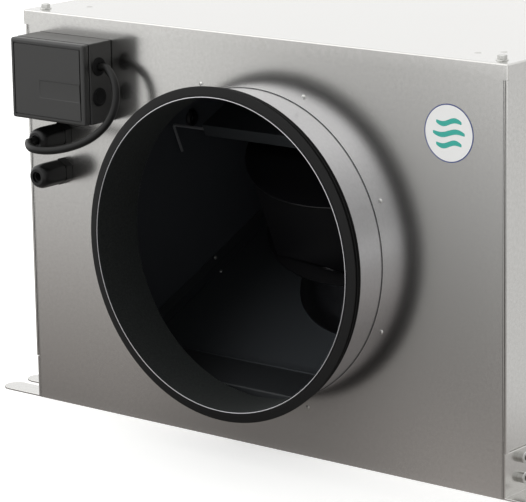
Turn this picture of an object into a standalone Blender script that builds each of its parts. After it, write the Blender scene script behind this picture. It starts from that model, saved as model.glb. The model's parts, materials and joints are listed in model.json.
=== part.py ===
# Inline duct fan in an insulated box, 315 mm duct connections.
# Metres, +Z up. The origin is at the middle of the underside of the box.
# -Y is the outlet end with the cable entries, +X is the right side seen from that end.
import math
import bmesh
import bpy
from mathutils import Matrix, Vector

# Casing
BOX_LENGTH = 0.800
SHEET = 0.0012
PANEL_FLANGE = 0.018
LINING = 0.050
LINING_SETBACK = 0.004
LID_LIP = 0.0152
LID_SIDE_PLAY = 0.0035
FOLD_RADIUS = 0.0008

# Duct spigots and their rubber seals
DUCT_RADIUS = 0.157
SPIGOT_LENGTH = 0.058
SPIGOT_WALL = 0.0010
SPIGOT_FLANGE = 0.021
SPIGOT_MARGIN = 0.010
RIM_ROLL = 0.0008
SEAL_START = 0.003
SEAL_LENGTH = 0.026
SEAL_BAND = 0.0022
SEAL_LIP = 0.0080
SEAL_LIP_WIDTH = 0.0035
SECOND_LIP = 0.0060
SECOND_LIP_START = 0.0165

# Sloping bulkhead between the two chambers
BULKHEAD_SHEET = 0.0015
BULKHEAD_START = 0.116
BULKHEAD_RISE = 0.250
RISER_SETBACK = 0.116
BULKHEAD_FOOT = 0.020
EDGE_FLANGE = 0.0125
EDGE_INSET = 0.022

# Fan, with heights measured square to the bulkhead
BLADE_COUNT = 7
BLADE_INNER_RADIUS = 0.094
BLADE_OUTER_RADIUS = 0.1505
BLADE_SWEEP = math.radians(-48)
BLADE_WALL = 0.0020
BLADE_ROOT = 0.056
EYE_RADIUS = 0.105
EYE_CLEARANCE = 0.0058
SHROUD_START = 0.039
SHROUD_HEIGHT = 0.046
SHROUD_OVERHANG = 0.0035
SHROUD_WALL = 0.0015
BACK_PLATE_HEIGHT = 0.178
BACK_PLATE_OVERHANG = 0.0015
BACK_PLATE_WALL = 0.0020
INLET_CONE_HEIGHT = 0.048
INLET_FLARE = 0.029
INLET_FLANGE = 0.013
INLET_MARGIN = 0.0523
ROTOR_RADIUS = 0.062
ROTOR_WALL = 0.0040
ROTOR_DEPTH = 0.080
SHAFT_RADIUS = 0.006
AIR_GAP = 0.0030
STATOR_RADIUS = 0.058
STATOR_FLANGE = 0.0164

# Motor bracket that stands on the bulkhead behind the impeller
BRACKET_HALF_WIDTH = 0.070
BRACKET_FLANGE = 0.012
BRACKET_SHEET = 0.0020
BRACKET_HEADROOM = 0.0270
LEG_CLEARANCE = 0.033
LEG_NEAR = 0.020
LEG_FOOT = 0.022
LEG_MARGIN = 0.0252
HOOK_RADIUS = 0.0015
HOOK_REACH = 0.045
HOOK_DROP = 0.034

# Rubber grommet in the left lining
WALL_GROMMET_RADIUS = 0.009
WALL_GROMMET_STAND = 0.004
WALL_GROMMET_BORE = 0.0035
WALL_GROMMET_FROM_OUTLET = 0.198
WALL_GROMMET_DROP = 0.140

# Terminal box and its two side entries
TERMINAL_INSET = 0.0165
TERMINAL_DROP = 0.0078
TERMINAL_WIDTH = 0.0985
TERMINAL_HEIGHT = 0.0813
TERMINAL_DEPTH = 0.0430
TERMINAL_COVER_DEPTH = 0.0115
TERMINAL_CORNER = 0.0025
GROOVE_INSET = 0.0040
GROOVE_WIDTH = 0.0012
GROOVE_DEPTH = 0.0008
ENTRY_FROM_COVER = 0.0115
ENTRY_PITCH = 0.031
ENTRY_LIFT = 0.00215
ENTRY_RADIUS = 0.0095
ENTRY_STAND = 0.0012

# Cable glands on the outlet end
GLAND_INSET = 0.028
GLAND_DROP = 0.0222
GLAND_PITCH = 0.038
GLAND_FLATS = 0.0240
GLAND_BASE = 0.0090
GLAND_NUT_FLATS = 0.0225
GLAND_NUT_LENGTH = 0.0320
GLAND_NOSE_RADIUS = 0.0075
GLAND_BORE = 0.0055
GLAND_STUB = 0.0080

# Control cable from the terminal box to the upper gland
CABLE_RADIUS = 0.0039
CABLE_LEAD = 0.0050
CABLE_STEP = 0.0055

# Mounting brackets
FOOT_REACH = 0.060
FOOT_WIDTH = 0.062
FOOT_SLOT = 0.010
FOOT_SLOT_DEPTH = 0.036
FOOT_RISE = 0.045
FOOT_SHEET = 0.0020

# Seats, fits and the number of facets round a circle
GAP = 0.0003
BLADE_GAP = 0.0005
BIG_STEPS = 60
CONE_STEPS = 48
SMALL_STEPS = 24

# Impeller, its inlet and its bracket
BACK_PLATE_RADIUS = BLADE_OUTER_RADIUS + BACK_PLATE_OVERHANG
SHROUD_RADIUS = BLADE_OUTER_RADIUS + SHROUD_OVERHANG
INLET_LIP_RADIUS = EYE_RADIUS - EYE_CLEARANCE - SHEET
INLET_HOLE_RADIUS = INLET_LIP_RADIUS + INLET_FLARE
INLET_FLANGE_RADIUS = INLET_HOLE_RADIUS + INLET_FLANGE
ROTOR_TOP = BACK_PLATE_HEIGHT + BACK_PLATE_WALL + GAP
BRACKET_HEIGHT = ROTOR_TOP + AIR_GAP + STATOR_FLANGE + GAP
BRACKET_HALF_LENGTH = SHROUD_RADIUS + LEG_CLEARANCE

# Where the bulkhead lies and where the fan's axis meets it
HALF_LENGTH = BOX_LENGTH / 2
FRONT = -HALF_LENGTH
BULKHEAD_Y = FRONT + BULKHEAD_START
RISER_Y = HALF_LENGTH - RISER_SETBACK
BULKHEAD_Z = LINING + GAP
TILT = math.atan2(BULKHEAD_RISE, RISER_Y - BULKHEAD_Y)
FAN_UP_SLOPE = INLET_FLANGE_RADIUS + INLET_MARGIN
FAN_Y = BULKHEAD_Y + FAN_UP_SLOPE * math.cos(TILT)
FAN_Z = BULKHEAD_Z + FAN_UP_SLOPE * math.sin(TILT)

# The box is as large as its fan or its duct asks for
DUCT_HEIGHT = PANEL_FLANGE + SPIGOT_MARGIN + SPIGOT_FLANGE + DUCT_RADIUS
DUCT_TOP = 2 * DUCT_HEIGHT + SHEET + GAP
BRACKET_TOP = FAN_Z + BRACKET_HEIGHT * math.cos(TILT) + BRACKET_HALF_WIDTH * math.sin(TILT)
RISER_TOP = BULKHEAD_Z + BULKHEAD_RISE + BRACKET_FLANGE
BOX_HEIGHT = max(DUCT_TOP, max(BRACKET_TOP, RISER_TOP) + BRACKET_HEADROOM + LINING)
FAN_SIDE = BRACKET_HALF_LENGTH + LEG_FOOT + LEG_MARGIN + EDGE_FLANGE + GAP + LINING
HALF_WIDTH = max(FAN_SIDE, DUCT_HEIGHT + SHEET + GAP)
INNER_HALF_WIDTH = HALF_WIDTH - 2 * (SHEET + GAP)
PANEL_TOP = BOX_HEIGHT - SHEET - GAP

# Places on the outlet end, measured from the panel's left edge and from the lid
TERMINAL_LEFT = TERMINAL_INSET - HALF_WIDTH
TERMINAL_BOTTOM = BOX_HEIGHT - LID_LIP - TERMINAL_DROP - TERMINAL_HEIGHT
ENTRY_MIDDLE = TERMINAL_BOTTOM + TERMINAL_HEIGHT / 2 + ENTRY_LIFT
ENTRY_HEIGHTS = (ENTRY_MIDDLE + ENTRY_PITCH / 2, ENTRY_MIDDLE - ENTRY_PITCH / 2)
ENTRY_DEPTH = TERMINAL_DEPTH - TERMINAL_COVER_DEPTH - ENTRY_FROM_COVER
GLAND_X = TERMINAL_LEFT + GLAND_INSET
GLAND_TOP = TERMINAL_BOTTOM - GLAND_DROP
GLAND_HEIGHTS = {"upper": GLAND_TOP, "lower": GLAND_TOP - GLAND_PITCH}


def clear_scene():
    for obj in list(bpy.data.objects):
        bpy.data.objects.remove(obj, do_unlink=True)


def make_collection(name):
    collection = bpy.data.collections.new(name)
    bpy.context.scene.collection.children.link(collection)
    return collection


def make_material(name, colour, roughness, metallic=0.0):
    material = bpy.data.materials.new(name)
    material.use_nodes = True
    shader = material.node_tree.nodes["Principled BSDF"]
    shader.inputs["Base Color"].default_value = (*colour, 1.0)
    shader.inputs["Roughness"].default_value = roughness
    shader.inputs["Metallic"].default_value = metallic
    material.diffuse_color = (*colour, 1.0)
    return material


clear_scene()
FAN = make_collection("inline_duct_fan")
CUTTERS = make_collection("cutters")
GALVANISED = make_material("galvanised_steel", (0.55, 0.54, 0.52), 0.35, 0.9)
RUBBER = make_material("black_rubber", (0.03, 0.03, 0.03), 0.6)
PLASTIC = make_material("dark_plastic", (0.06, 0.06, 0.06), 0.45)
WOOL = make_material("faced_mineral_wool", (0.05, 0.055, 0.05), 0.9)
COATED = make_material("dark_coated_steel", (0.12, 0.125, 0.13), 0.5, 0.3)
BLADE_BLACK = make_material("impeller_black", (0.04, 0.04, 0.045), 0.45)
MOTOR_GREY = make_material("motor_grey", (0.25, 0.25, 0.26), 0.5, 0.4)


def place(obj, material=None, parent=None, matrix=None):
    FAN.objects.link(obj)
    if matrix is not None:
        obj.matrix_world = matrix
    if parent is not None:
        obj.parent = parent
    if material is not None:
        obj.data.materials.clear()
        obj.data.materials.append(material)
        obj.data.shade_smooth()
        obj.data.set_sharp_from_angle(angle=math.radians(35))
    return obj


def mesh_object(name, bm):
    mesh = bpy.data.meshes.new(name)
    bm.to_mesh(mesh)
    bm.free()
    return bpy.data.objects.new(name, mesh)


def box(name, low, high, material, rounding=0.0):
    bm = bmesh.new()
    bmesh.ops.create_cube(bm, size=1.0)
    size = Vector(high) - Vector(low)
    middle = (Vector(high) + Vector(low)) / 2
    bmesh.ops.scale(bm, vec=size, verts=bm.verts)
    bmesh.ops.translate(bm, vec=middle, verts=bm.verts)
    obj = place(mesh_object(name, bm), material)
    if rounding:
        bevel = obj.modifiers.new("rounding", "BEVEL")
        bevel.width = rounding
        bevel.segments = 2
    return obj


def turned(name, profile, material, steps=BIG_STEPS, matrix=None, parent=None, closed=True):
    """Profile points (radius, height), down the outer side first."""
    bm = bmesh.new()
    points = [bm.verts.new((radius, 0.0, height)) for radius, height in profile]
    for first, second in zip(points, points[1:]):
        bm.edges.new((first, second))
    if closed:
        bm.edges.new((points[-1], points[0]))
    obj = place(mesh_object(name, bm), material, parent, matrix)
    screw = obj.modifiers.new("turn", "SCREW")
    screw.steps = steps
    screw.render_steps = steps
    screw.use_merge_vertices = True
    screw.merge_threshold = 0.00001
    screw.use_smooth_shade = True
    return obj


def folded_sheet(name, profile, length, thickness, material, offset=1.0):
    """An open profile in the YZ plane, drawn along X and given its thickness."""
    bm = bmesh.new()
    points = [bm.verts.new((-length / 2, y, z)) for y, z in profile]
    edges = [bm.edges.new(pair) for pair in zip(points, points[1:])]
    strip = bmesh.ops.extrude_edge_only(bm, edges=edges)["geom"]
    moved = [item for item in strip if isinstance(item, bmesh.types.BMVert)]
    bmesh.ops.translate(bm, vec=(length, 0.0, 0.0), verts=moved)
    obj = place(mesh_object(name, bm), material)
    thicken(obj, thickness, offset)
    return obj


def thicken(obj, thickness, offset=1.0):
    shell = obj.modifiers.new("thickness", "SOLIDIFY")
    shell.thickness = thickness
    shell.offset = offset
    shell.use_even_offset = True


def cut(obj, cutter, operation="DIFFERENCE"):
    for collection in list(cutter.users_collection):
        collection.objects.unlink(cutter)
    CUTTERS.objects.link(cutter)
    cutter.hide_render = True
    cutter.display_type = "WIRE"
    boolean = obj.modifiers.new("cut", "BOOLEAN")
    boolean.operation = operation
    boolean.solver = "EXACT"
    boolean.object = cutter


def cylinder(name, radius, depth, matrix, steps=BIG_STEPS, material=None, parent=None):
    bm = bmesh.new()
    bmesh.ops.create_cone(
        bm, cap_ends=True, segments=steps, radius1=radius, radius2=radius, depth=depth
    )
    return place(mesh_object(name, bm), material, parent, matrix)


def facing(x, y, z, outward):
    """Local +Z points to the outlet end (outward -1) or to the inlet end (outward +1)."""
    return Matrix.Translation((x, y, z)) @ Matrix.Rotation(-outward * math.pi / 2, 4, "X")


def end_panel(name, outward):
    """Front or rear panel: a tray with flanges folded inwards and the duct hole."""
    half = HALF_WIDTH - SHEET - GAP
    face = outward * HALF_LENGTH
    back = face - outward * PANEL_FLANGE
    bm = bmesh.new()
    bmesh.ops.create_grid(bm, x_segments=1, y_segments=1, size=half)
    bmesh.ops.scale(bm, vec=(1.0, PANEL_TOP / 2 / half, 1.0), verts=bm.verts)
    bmesh.ops.rotate(bm, matrix=Matrix.Rotation(-outward * math.pi / 2, 3, "X"), verts=bm.verts)
    bmesh.ops.translate(bm, vec=(0.0, face, PANEL_TOP / 2), verts=bm.verts)
    folds = [e for e in bm.edges if max(v.co.z for v in e.verts) > PANEL_TOP / 2]
    flanges = bmesh.ops.extrude_edge_only(bm, edges=folds)["geom"]
    moved = [item for item in flanges if isinstance(item, bmesh.types.BMVert)]
    bmesh.ops.translate(bm, vec=(0.0, back - face, 0.0), verts=moved)
    bmesh.ops.recalc_face_normals(bm, faces=bm.faces)
    outer = max(bm.faces, key=lambda f: abs(f.normal.y) * f.calc_area())
    if outer.normal.y * outward < 0:
        bmesh.ops.reverse_faces(bm, faces=bm.faces)
    obj = place(mesh_object(name, bm), GALVANISED)
    thicken(obj, SHEET, -1.0)
    centre = facing(0.0, face, DUCT_HEIGHT, outward)
    cut(obj, cylinder(name + "_hole", DUCT_RADIUS + GAP, 4 * PANEL_FLANGE, centre))
    if outward < 0:
        for height in GLAND_HEIGHTS.values():
            place_at = facing(GLAND_X, face, height, outward)
            stub = GLAND_STUB + GAP
            hole = cylinder(name + "_gland_hole", stub, 2 * PANEL_FLANGE, place_at, SMALL_STEPS)
            cut(obj, hole)
    return obj


def side_panel(name, side):
    low = (side * HALF_WIDTH, FRONT, 0.0)
    high = (side * (HALF_WIDTH - SHEET), HALF_LENGTH, PANEL_TOP)
    ordered = list(zip(*(sorted(pair) for pair in zip(low, high))))
    return box(name, ordered[0], ordered[1], GALVANISED)


def floor_panel():
    end = HALF_LENGTH - SHEET - GAP
    profile = [(-end, PANEL_FLANGE), (-end, 0.0), (end, 0.0), (end, PANEL_FLANGE)]
    return folded_sheet("floor_panel", profile, 2 * INNER_HALF_WIDTH, SHEET, GALVANISED)


def lid():
    half = HALF_WIDTH + LID_SIDE_PLAY + SHEET
    end = HALF_LENGTH + GAP + SHEET
    bm = bmesh.new()
    bmesh.ops.create_cube(bm, size=1.0)
    bmesh.ops.scale(bm, vec=(2 * half, 2 * end, LID_LIP), verts=bm.verts)
    bmesh.ops.translate(bm, vec=(0.0, 0.0, BOX_HEIGHT - LID_LIP / 2), verts=bm.verts)
    under = [f for f in bm.faces if f.normal.z < -0.5]
    bmesh.ops.delete(bm, geom=under, context="FACES_ONLY")
    obj = place(mesh_object("lid", bm), GALVANISED)
    thicken(obj, SHEET, -1.0)
    bevel = obj.modifiers.new("folds", "BEVEL")
    bevel.width = FOLD_RADIUS / 2
    bevel.segments = 1
    return obj


def linings():
    end = HALF_LENGTH - PANEL_FLANGE - LINING_SETBACK
    low = SHEET + GAP
    high = PANEL_TOP - SHEET - GAP
    inner = HALF_WIDTH - LINING
    upper = BOX_HEIGHT - LINING
    box("floor_lining", (-INNER_HALF_WIDTH, -end, low), (INNER_HALF_WIDTH, end, LINING), WOOL)
    box("lid_lining", (-INNER_HALF_WIDTH, -end, upper), (INNER_HALF_WIDTH, end, high), WOOL)
    bottom = LINING + GAP
    top = upper - GAP
    box("left_lining", (-INNER_HALF_WIDTH, -end, bottom), (-inner, end, top), WOOL)
    box("right_lining", (inner, -end, bottom), (INNER_HALF_WIDTH, end, top), WOOL)


def spigot(name, outward):
    """Tube with a rolled rim, and the flange round its root behind the end panel."""
    rim = SPIGOT_LENGTH
    behind = -SHEET - GAP
    back = behind - SHEET
    inner = DUCT_RADIUS - SPIGOT_WALL
    tube = [
        (DUCT_RADIUS - RIM_ROLL / 2, rim),
        (DUCT_RADIUS, rim - RIM_ROLL),
        (DUCT_RADIUS, back),
        (inner, back),
        (inner, rim),
    ]
    hole = DUCT_RADIUS + GAP
    edge = DUCT_RADIUS + SPIGOT_FLANGE
    flange = [(edge, behind), (edge, back), (hole, back), (hole, behind)]
    at = facing(0.0, outward * HALF_LENGTH, DUCT_HEIGHT, outward)
    turned(name, tube, GALVANISED, matrix=at)
    turned(name + "_flange", flange, GALVANISED, matrix=at)


def seal(name, outward):
    """Rubber band with two lips that lean away from the rim."""
    inner = DUCT_RADIUS + GAP
    band = DUCT_RADIUS + SEAL_BAND
    start = SPIGOT_LENGTH - SEAL_START
    end = start - SEAL_LENGTH
    first = start - SEAL_LIP_WIDTH
    second = start - SECOND_LIP_START
    profile = [
        (inner, start),
        (band, start),
        (band + SEAL_LIP, first),
        (band + SEAL_LIP, first - SEAL_LIP_WIDTH / 2),
        (band, first - SEAL_LIP_WIDTH / 2),
        (band, second),
        (band + SECOND_LIP, second - SEAL_LIP_WIDTH),
        (band + SECOND_LIP, second - 1.5 * SEAL_LIP_WIDTH),
        (band, second - 1.5 * SEAL_LIP_WIDTH),
        (band, end),
        (inner, end),
    ]
    at = facing(0.0, outward * HALF_LENGTH, DUCT_HEIGHT, outward)
    return turned(name, profile, RUBBER, matrix=at)


def bulkhead():
    """Foot on the floor lining, slope with the fan's inlet, and a riser to the lid lining."""
    top = BOX_HEIGHT - LINING - GAP
    half = HALF_WIDTH - LINING - GAP
    profile = [
        (BULKHEAD_Y - BULKHEAD_FOOT, BULKHEAD_Z),
        (BULKHEAD_Y, BULKHEAD_Z),
        (RISER_Y, BULKHEAD_Z + BULKHEAD_RISE),
        (RISER_Y, top),
    ]
    obj = folded_sheet("bulkhead", profile, 2 * half, BULKHEAD_SHEET, COATED)
    hole = cylinder("bulkhead_hole", INLET_HOLE_RADIUS, INLET_HOLE_RADIUS, fan_matrix())
    cut(obj, hole)
    return obj


def bulkhead_edge(name, side):
    """Angle strip that fixes the bulkhead's slope to the side lining."""
    start = EDGE_INSET
    length = (RISER_Y - BULKHEAD_Y) / math.cos(TILT) - 2 * EDGE_INSET
    near = HALF_WIDTH - LINING - GAP
    lift = BULKHEAD_SHEET + GAP
    foot = Matrix.Translation((0.0, BULKHEAD_Y, BULKHEAD_Z)) @ Matrix.Rotation(TILT, 4, "X")
    bm = bmesh.new()
    points = [
        bm.verts.new((side * near, start, lift + EDGE_FLANGE)),
        bm.verts.new((side * near, start, lift)),
        bm.verts.new((side * (near - EDGE_FLANGE), start, lift)),
    ]
    edges = [bm.edges.new(pair) for pair in zip(points, points[1:])]
    strip = bmesh.ops.extrude_edge_only(bm, edges=edges)["geom"]
    moved = [item for item in strip if isinstance(item, bmesh.types.BMVert)]
    bmesh.ops.translate(bm, vec=(0.0, length, 0.0), verts=moved)
    inside = min(bm.faces, key=lambda f: abs(f.normal.z))
    if inside.normal.x * side > 0:
        bmesh.ops.reverse_faces(bm, faces=bm.faces)
    obj = place(mesh_object(name, bm), COATED, matrix=foot)
    thicken(obj, BULKHEAD_SHEET, 1.0)
    return obj


def fan_matrix():
    """The fan's axis is square to the bulkhead and meets it at the inlet."""
    return Matrix.Translation((0.0, FAN_Y, FAN_Z)) @ Matrix.Rotation(TILT, 4, "X")


def fan_axis(name):
    empty = bpy.data.objects.new(name, None)
    FAN.objects.link(empty)
    empty.matrix_world = fan_matrix()
    return empty


def inlet_cone(axis):
    """Flange on the bulkhead and a bell that narrows to the impeller's eye."""
    seat = BULKHEAD_SHEET + GAP
    top = seat + SHEET
    throat = INLET_HOLE_RADIUS - 2 * SHEET
    reach = throat - INLET_LIP_RADIUS
    count = 6
    outer = []
    inner = []
    for step in range(count + 1):
        turn = math.pi / 2 * step / count
        radius = INLET_LIP_RADIUS + reach * (1 - math.sin(turn))
        height = top + (INLET_CONE_HEIGHT - top) * (1 - math.cos(turn))
        outer.append((radius + SHEET, height))
        inner.append((radius, height))
    profile = list(reversed(outer))
    profile += [(INLET_FLANGE_RADIUS, top), (INLET_FLANGE_RADIUS, seat), (throat, seat)]
    profile += inner[1:]
    return turned("inlet_cone", profile, GALVANISED, CONE_STEPS, parent=axis)


def shroud_curve(offset, steps):
    """Quarter ellipse from the eye to the rim, moved out by offset."""
    across = SHROUD_RADIUS - EYE_RADIUS
    points = []
    for step in range(steps + 1):
        turn = math.pi / 2 * step / steps
        radius = SHROUD_RADIUS - (across + offset) * math.cos(turn)
        height = SHROUD_START + (SHROUD_HEIGHT + offset) * math.sin(turn)
        points.append((radius, height))
    return points


def impeller_shroud(axis):
    flow_side = shroud_curve(0.0, 7)
    under_side = shroud_curve(-SHROUD_WALL, 7)
    profile = list(reversed(under_side)) + flow_side
    return turned("impeller_shroud", profile, BLADE_BLACK, parent=axis)


def blade_foot(radius):
    """Lower edge of a blade: on the shroud, or free inside the eye."""
    across = SHROUD_RADIUS - EYE_RADIUS + BLADE_GAP
    share = (SHROUD_RADIUS - radius) / across
    if abs(share) >= 1:
        return BLADE_ROOT
    return max(BLADE_ROOT, SHROUD_START + (SHROUD_HEIGHT + BLADE_GAP) * math.sqrt(1 - share ** 2))


def impeller_blade(index, axis):
    """Backward curved blade: a grid bent along its sweep, then thickened."""
    columns = 12
    bm = bmesh.new()
    bmesh.ops.create_grid(bm, x_segments=columns, y_segments=1, size=1)
    top = BACK_PLATE_HEIGHT - GAP
    start = 2 * math.pi * (index + 0.5) / BLADE_COUNT
    for vert in bm.verts:
        along = (vert.co.x + 1) / 2
        radius = BLADE_INNER_RADIUS + (BLADE_OUTER_RADIUS - BLADE_INNER_RADIUS) * along
        angle = start + BLADE_SWEEP * along * (1.35 - 0.35 * along)
        height = top if vert.co.y > 0 else blade_foot(radius + BLADE_WALL / 2)
        vert.co = (radius * math.cos(angle), radius * math.sin(angle), height)
    obj = place(mesh_object(f"impeller_blade_{index + 1}", bm), BLADE_BLACK, axis)
    thicken(obj, BLADE_WALL, 0.0)
    return obj


def impeller_back_plate(axis):
    low = BACK_PLATE_HEIGHT
    high = low + BACK_PLATE_WALL
    hub = ROTOR_RADIUS + GAP
    profile = [(BACK_PLATE_RADIUS, high), (BACK_PLATE_RADIUS, low), (hub, low), (hub, high)]
    return turned("impeller_back_plate", profile, BLADE_BLACK, parent=axis)


def motor_rotor(axis):
    """Cup that the impeller sits on, with the shaft that runs in the stator."""
    bottom = ROTOR_TOP - ROTOR_DEPTH
    floor = bottom + ROTOR_WALL
    inner = ROTOR_RADIUS - ROTOR_WALL
    shaft_top = ROTOR_TOP - ROTOR_DEPTH / 3
    profile = [
        (0.0, shaft_top),
        (SHAFT_RADIUS, shaft_top),
        (SHAFT_RADIUS, floor),
        (inner, floor),
        (inner, ROTOR_TOP),
        (ROTOR_RADIUS, ROTOR_TOP),
        (ROTOR_RADIUS, bottom + ROTOR_WALL),
        (ROTOR_RADIUS - ROTOR_WALL, bottom),
        (0.0, bottom),
    ]
    return turned("motor_rotor", profile, MOTOR_GREY, SMALL_STEPS * 2, parent=axis, closed=False)


def motor_stator(axis):
    """Core inside the rotor and the flange under the motor bracket."""
    under = ROTOR_TOP + AIR_GAP
    top = BRACKET_HEIGHT - GAP
    core = ROTOR_RADIUS - ROTOR_WALL - AIR_GAP
    bottom = ROTOR_TOP - ROTOR_DEPTH + ROTOR_WALL + AIR_GAP
    bore = SHAFT_RADIUS + GAP
    bore_top = ROTOR_TOP - ROTOR_DEPTH / 3 + AIR_GAP
    profile = [
        (0.0, top),
        (STATOR_RADIUS, top),
        (STATOR_RADIUS, under),
        (core, under),
        (core, bottom),
        (bore, bottom),
        (bore, bore_top),
        (0.0, bore_top),
    ]
    return turned("motor_stator", profile, MOTOR_GREY, SMALL_STEPS * 2, parent=axis, closed=False)


def motor_bracket(axis):
    low = BRACKET_HEIGHT
    down = low - BRACKET_FLANGE
    half = BRACKET_HALF_WIDTH
    profile = [(-half, down), (-half, low), (half, low), (half, down)]
    obj = folded_sheet("motor_bracket", profile, 2 * BRACKET_HALF_LENGTH, BRACKET_SHEET, COATED)
    obj.parent = axis
    return obj


def bracket_leg(name, side, axis):
    """Leg under the bracket's end, with a foot turned out on the bulkhead."""
    near = LEG_NEAR
    far = BRACKET_HALF_WIDTH - BRACKET_SHEET - GAP
    x = side * BRACKET_HALF_LENGTH
    foot = BULKHEAD_SHEET + GAP
    top = BRACKET_HEIGHT - BRACKET_SHEET - GAP
    bm = bmesh.new()
    points = [
        bm.verts.new((x - side * LEG_FOOT, near, top)),
        bm.verts.new((x, near, top)),
        bm.verts.new((x, near, foot)),
        bm.verts.new((x + side * LEG_FOOT, near, foot)),
    ]
    edges = [bm.edges.new(pair) for pair in zip(points, points[1:])]
    strip = bmesh.ops.extrude_edge_only(bm, edges=edges)["geom"]
    moved = [item for item in strip if isinstance(item, bmesh.types.BMVert)]
    bmesh.ops.translate(bm, vec=(0.0, far - near, 0.0), verts=moved)
    foot_face = min(bm.faces, key=lambda f: f.calc_center_median().z)
    if foot_face.normal.z < 0:
        bmesh.ops.reverse_faces(bm, faces=bm.faces)
    obj = place(mesh_object(name, bm), COATED, axis)
    thicken(obj, BRACKET_SHEET, 1.0)
    return obj


def wire(name, points, radius, material, resolution=2, parent=None):
    curve = bpy.data.curves.new(name, "CURVE")
    curve.dimensions = "3D"
    spline = curve.splines.new("POLY")
    spline.points.add(len(points) - 1)
    for target, point in zip(spline.points, points):
        target.co = (*point, 1.0)
    curve.bevel_depth = radius
    curve.bevel_resolution = resolution
    curve.use_fill_caps = True
    obj = bpy.data.objects.new(name, curve)
    FAN.objects.link(obj)
    obj.parent = parent
    curve.materials.append(material)
    return obj


def solid_from_curve(obj):
    """A mesh copy of a curve object with its caps welded."""
    graph = bpy.context.evaluated_depsgraph_get()
    mesh = bpy.data.meshes.new_from_object(obj.evaluated_get(graph))
    bm = bmesh.new()
    bm.from_mesh(mesh)
    bmesh.ops.remove_doubles(bm, verts=bm.verts, dist=0.00001)
    bm.to_mesh(mesh)
    bm.free()
    name = obj.name
    matrix = obj.matrix_world.copy()
    bpy.data.objects.remove(obj, do_unlink=True)
    solid = bpy.data.objects.new(name, mesh)
    FAN.objects.link(solid)
    solid.matrix_world = matrix
    return solid


def cable_hook(axis):
    x = -BRACKET_HALF_LENGTH
    y = -BRACKET_HALF_WIDTH + HOOK_RADIUS
    z = BRACKET_HEIGHT - BRACKET_FLANGE / 2
    bend = 2 * HOOK_RADIUS
    end = x - HOOK_REACH
    points = [(x - GAP, y, z), (end + bend, y, z)]
    for step in range(1, 4):
        turn = math.pi / 2 * step / 4
        points.append((end + bend - bend * math.sin(turn), y, z - bend + bend * math.cos(turn)))
    points += [(end, y, z - bend), (end, y, z - HOOK_DROP)]
    return wire("cable_hook", points, HOOK_RADIUS, GALVANISED, parent=axis)


def wall_grommet():
    """Rubber grommet in the left lining where the motor's lead comes through."""
    radius = WALL_GROMMET_RADIUS
    stand = WALL_GROMMET_STAND
    bore = WALL_GROMMET_BORE
    profile = [(radius * 0.8, stand), (radius, stand / 2), (radius, 0.0), (bore, 0.0), (bore, stand)]
    y = FRONT + WALL_GROMMET_FROM_OUTLET
    z = BOX_HEIGHT - WALL_GROMMET_DROP
    at = Matrix.Translation((LINING + GAP - HALF_WIDTH, y, z)) @ Matrix.Rotation(math.pi / 2, 4, "Y")
    return turned("wall_grommet", profile, RUBBER, SMALL_STEPS, at)


def terminal_box():
    """Moulded base and a cover with a groove round its face, on the outlet end."""
    low_x = TERMINAL_LEFT
    high_x = TERMINAL_LEFT + TERMINAL_WIDTH
    low_z = TERMINAL_BOTTOM
    high_z = TERMINAL_BOTTOM + TERMINAL_HEIGHT
    back = FRONT - GAP
    split = FRONT - TERMINAL_DEPTH + TERMINAL_COVER_DEPTH
    front = FRONT - TERMINAL_DEPTH
    box("terminal_box_base", (low_x, split, low_z), (high_x, back, high_z), PLASTIC, TERMINAL_CORNER)
    cover_low = (low_x, front, low_z)
    cover_high = (high_x, split - GAP, high_z)
    cover = box("terminal_box_cover", cover_low, cover_high, PLASTIC, TERMINAL_CORNER)
    ring_low = (low_x + GROOVE_INSET, front - GROOVE_DEPTH, low_z + GROOVE_INSET)
    ring_high = (high_x - GROOVE_INSET, front + GROOVE_DEPTH, high_z - GROOVE_INSET)
    ring = box("groove_outside", ring_low, ring_high, PLASTIC)
    kept_low = (ring_low[0] + GROOVE_WIDTH, front - 2 * GROOVE_DEPTH, ring_low[2] + GROOVE_WIDTH)
    kept_high = (ring_high[0] - GROOVE_WIDTH, front + 2 * GROOVE_DEPTH, ring_high[2] - GROOVE_WIDTH)
    cut(ring, box("groove_inside", kept_low, kept_high, PLASTIC))
    cut(cover, ring)


def entry_grommets():
    high_x = TERMINAL_LEFT + TERMINAL_WIDTH
    sideways = Matrix.Rotation(math.pi / 2, 4, "Y")
    for name, height in zip(("cable_grommet", "blind_grommet"), ENTRY_HEIGHTS):
        bore = CABLE_RADIUS + GAP
        at = Matrix.Translation((high_x + GAP, FRONT - ENTRY_DEPTH, height)) @ sideways
        rim = [(ENTRY_RADIUS - ENTRY_STAND, ENTRY_STAND), (ENTRY_RADIUS, 0.0)]
        if name == "cable_grommet":
            turned(name, rim + [(bore, 0.0), (bore, ENTRY_STAND)], RUBBER, SMALL_STEPS, at)
        else:
            closed_rim = [(0.0, ENTRY_STAND)] + rim + [(0.0, 0.0)]
            turned(name, closed_rim, RUBBER, SMALL_STEPS, at, closed=False)


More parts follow.
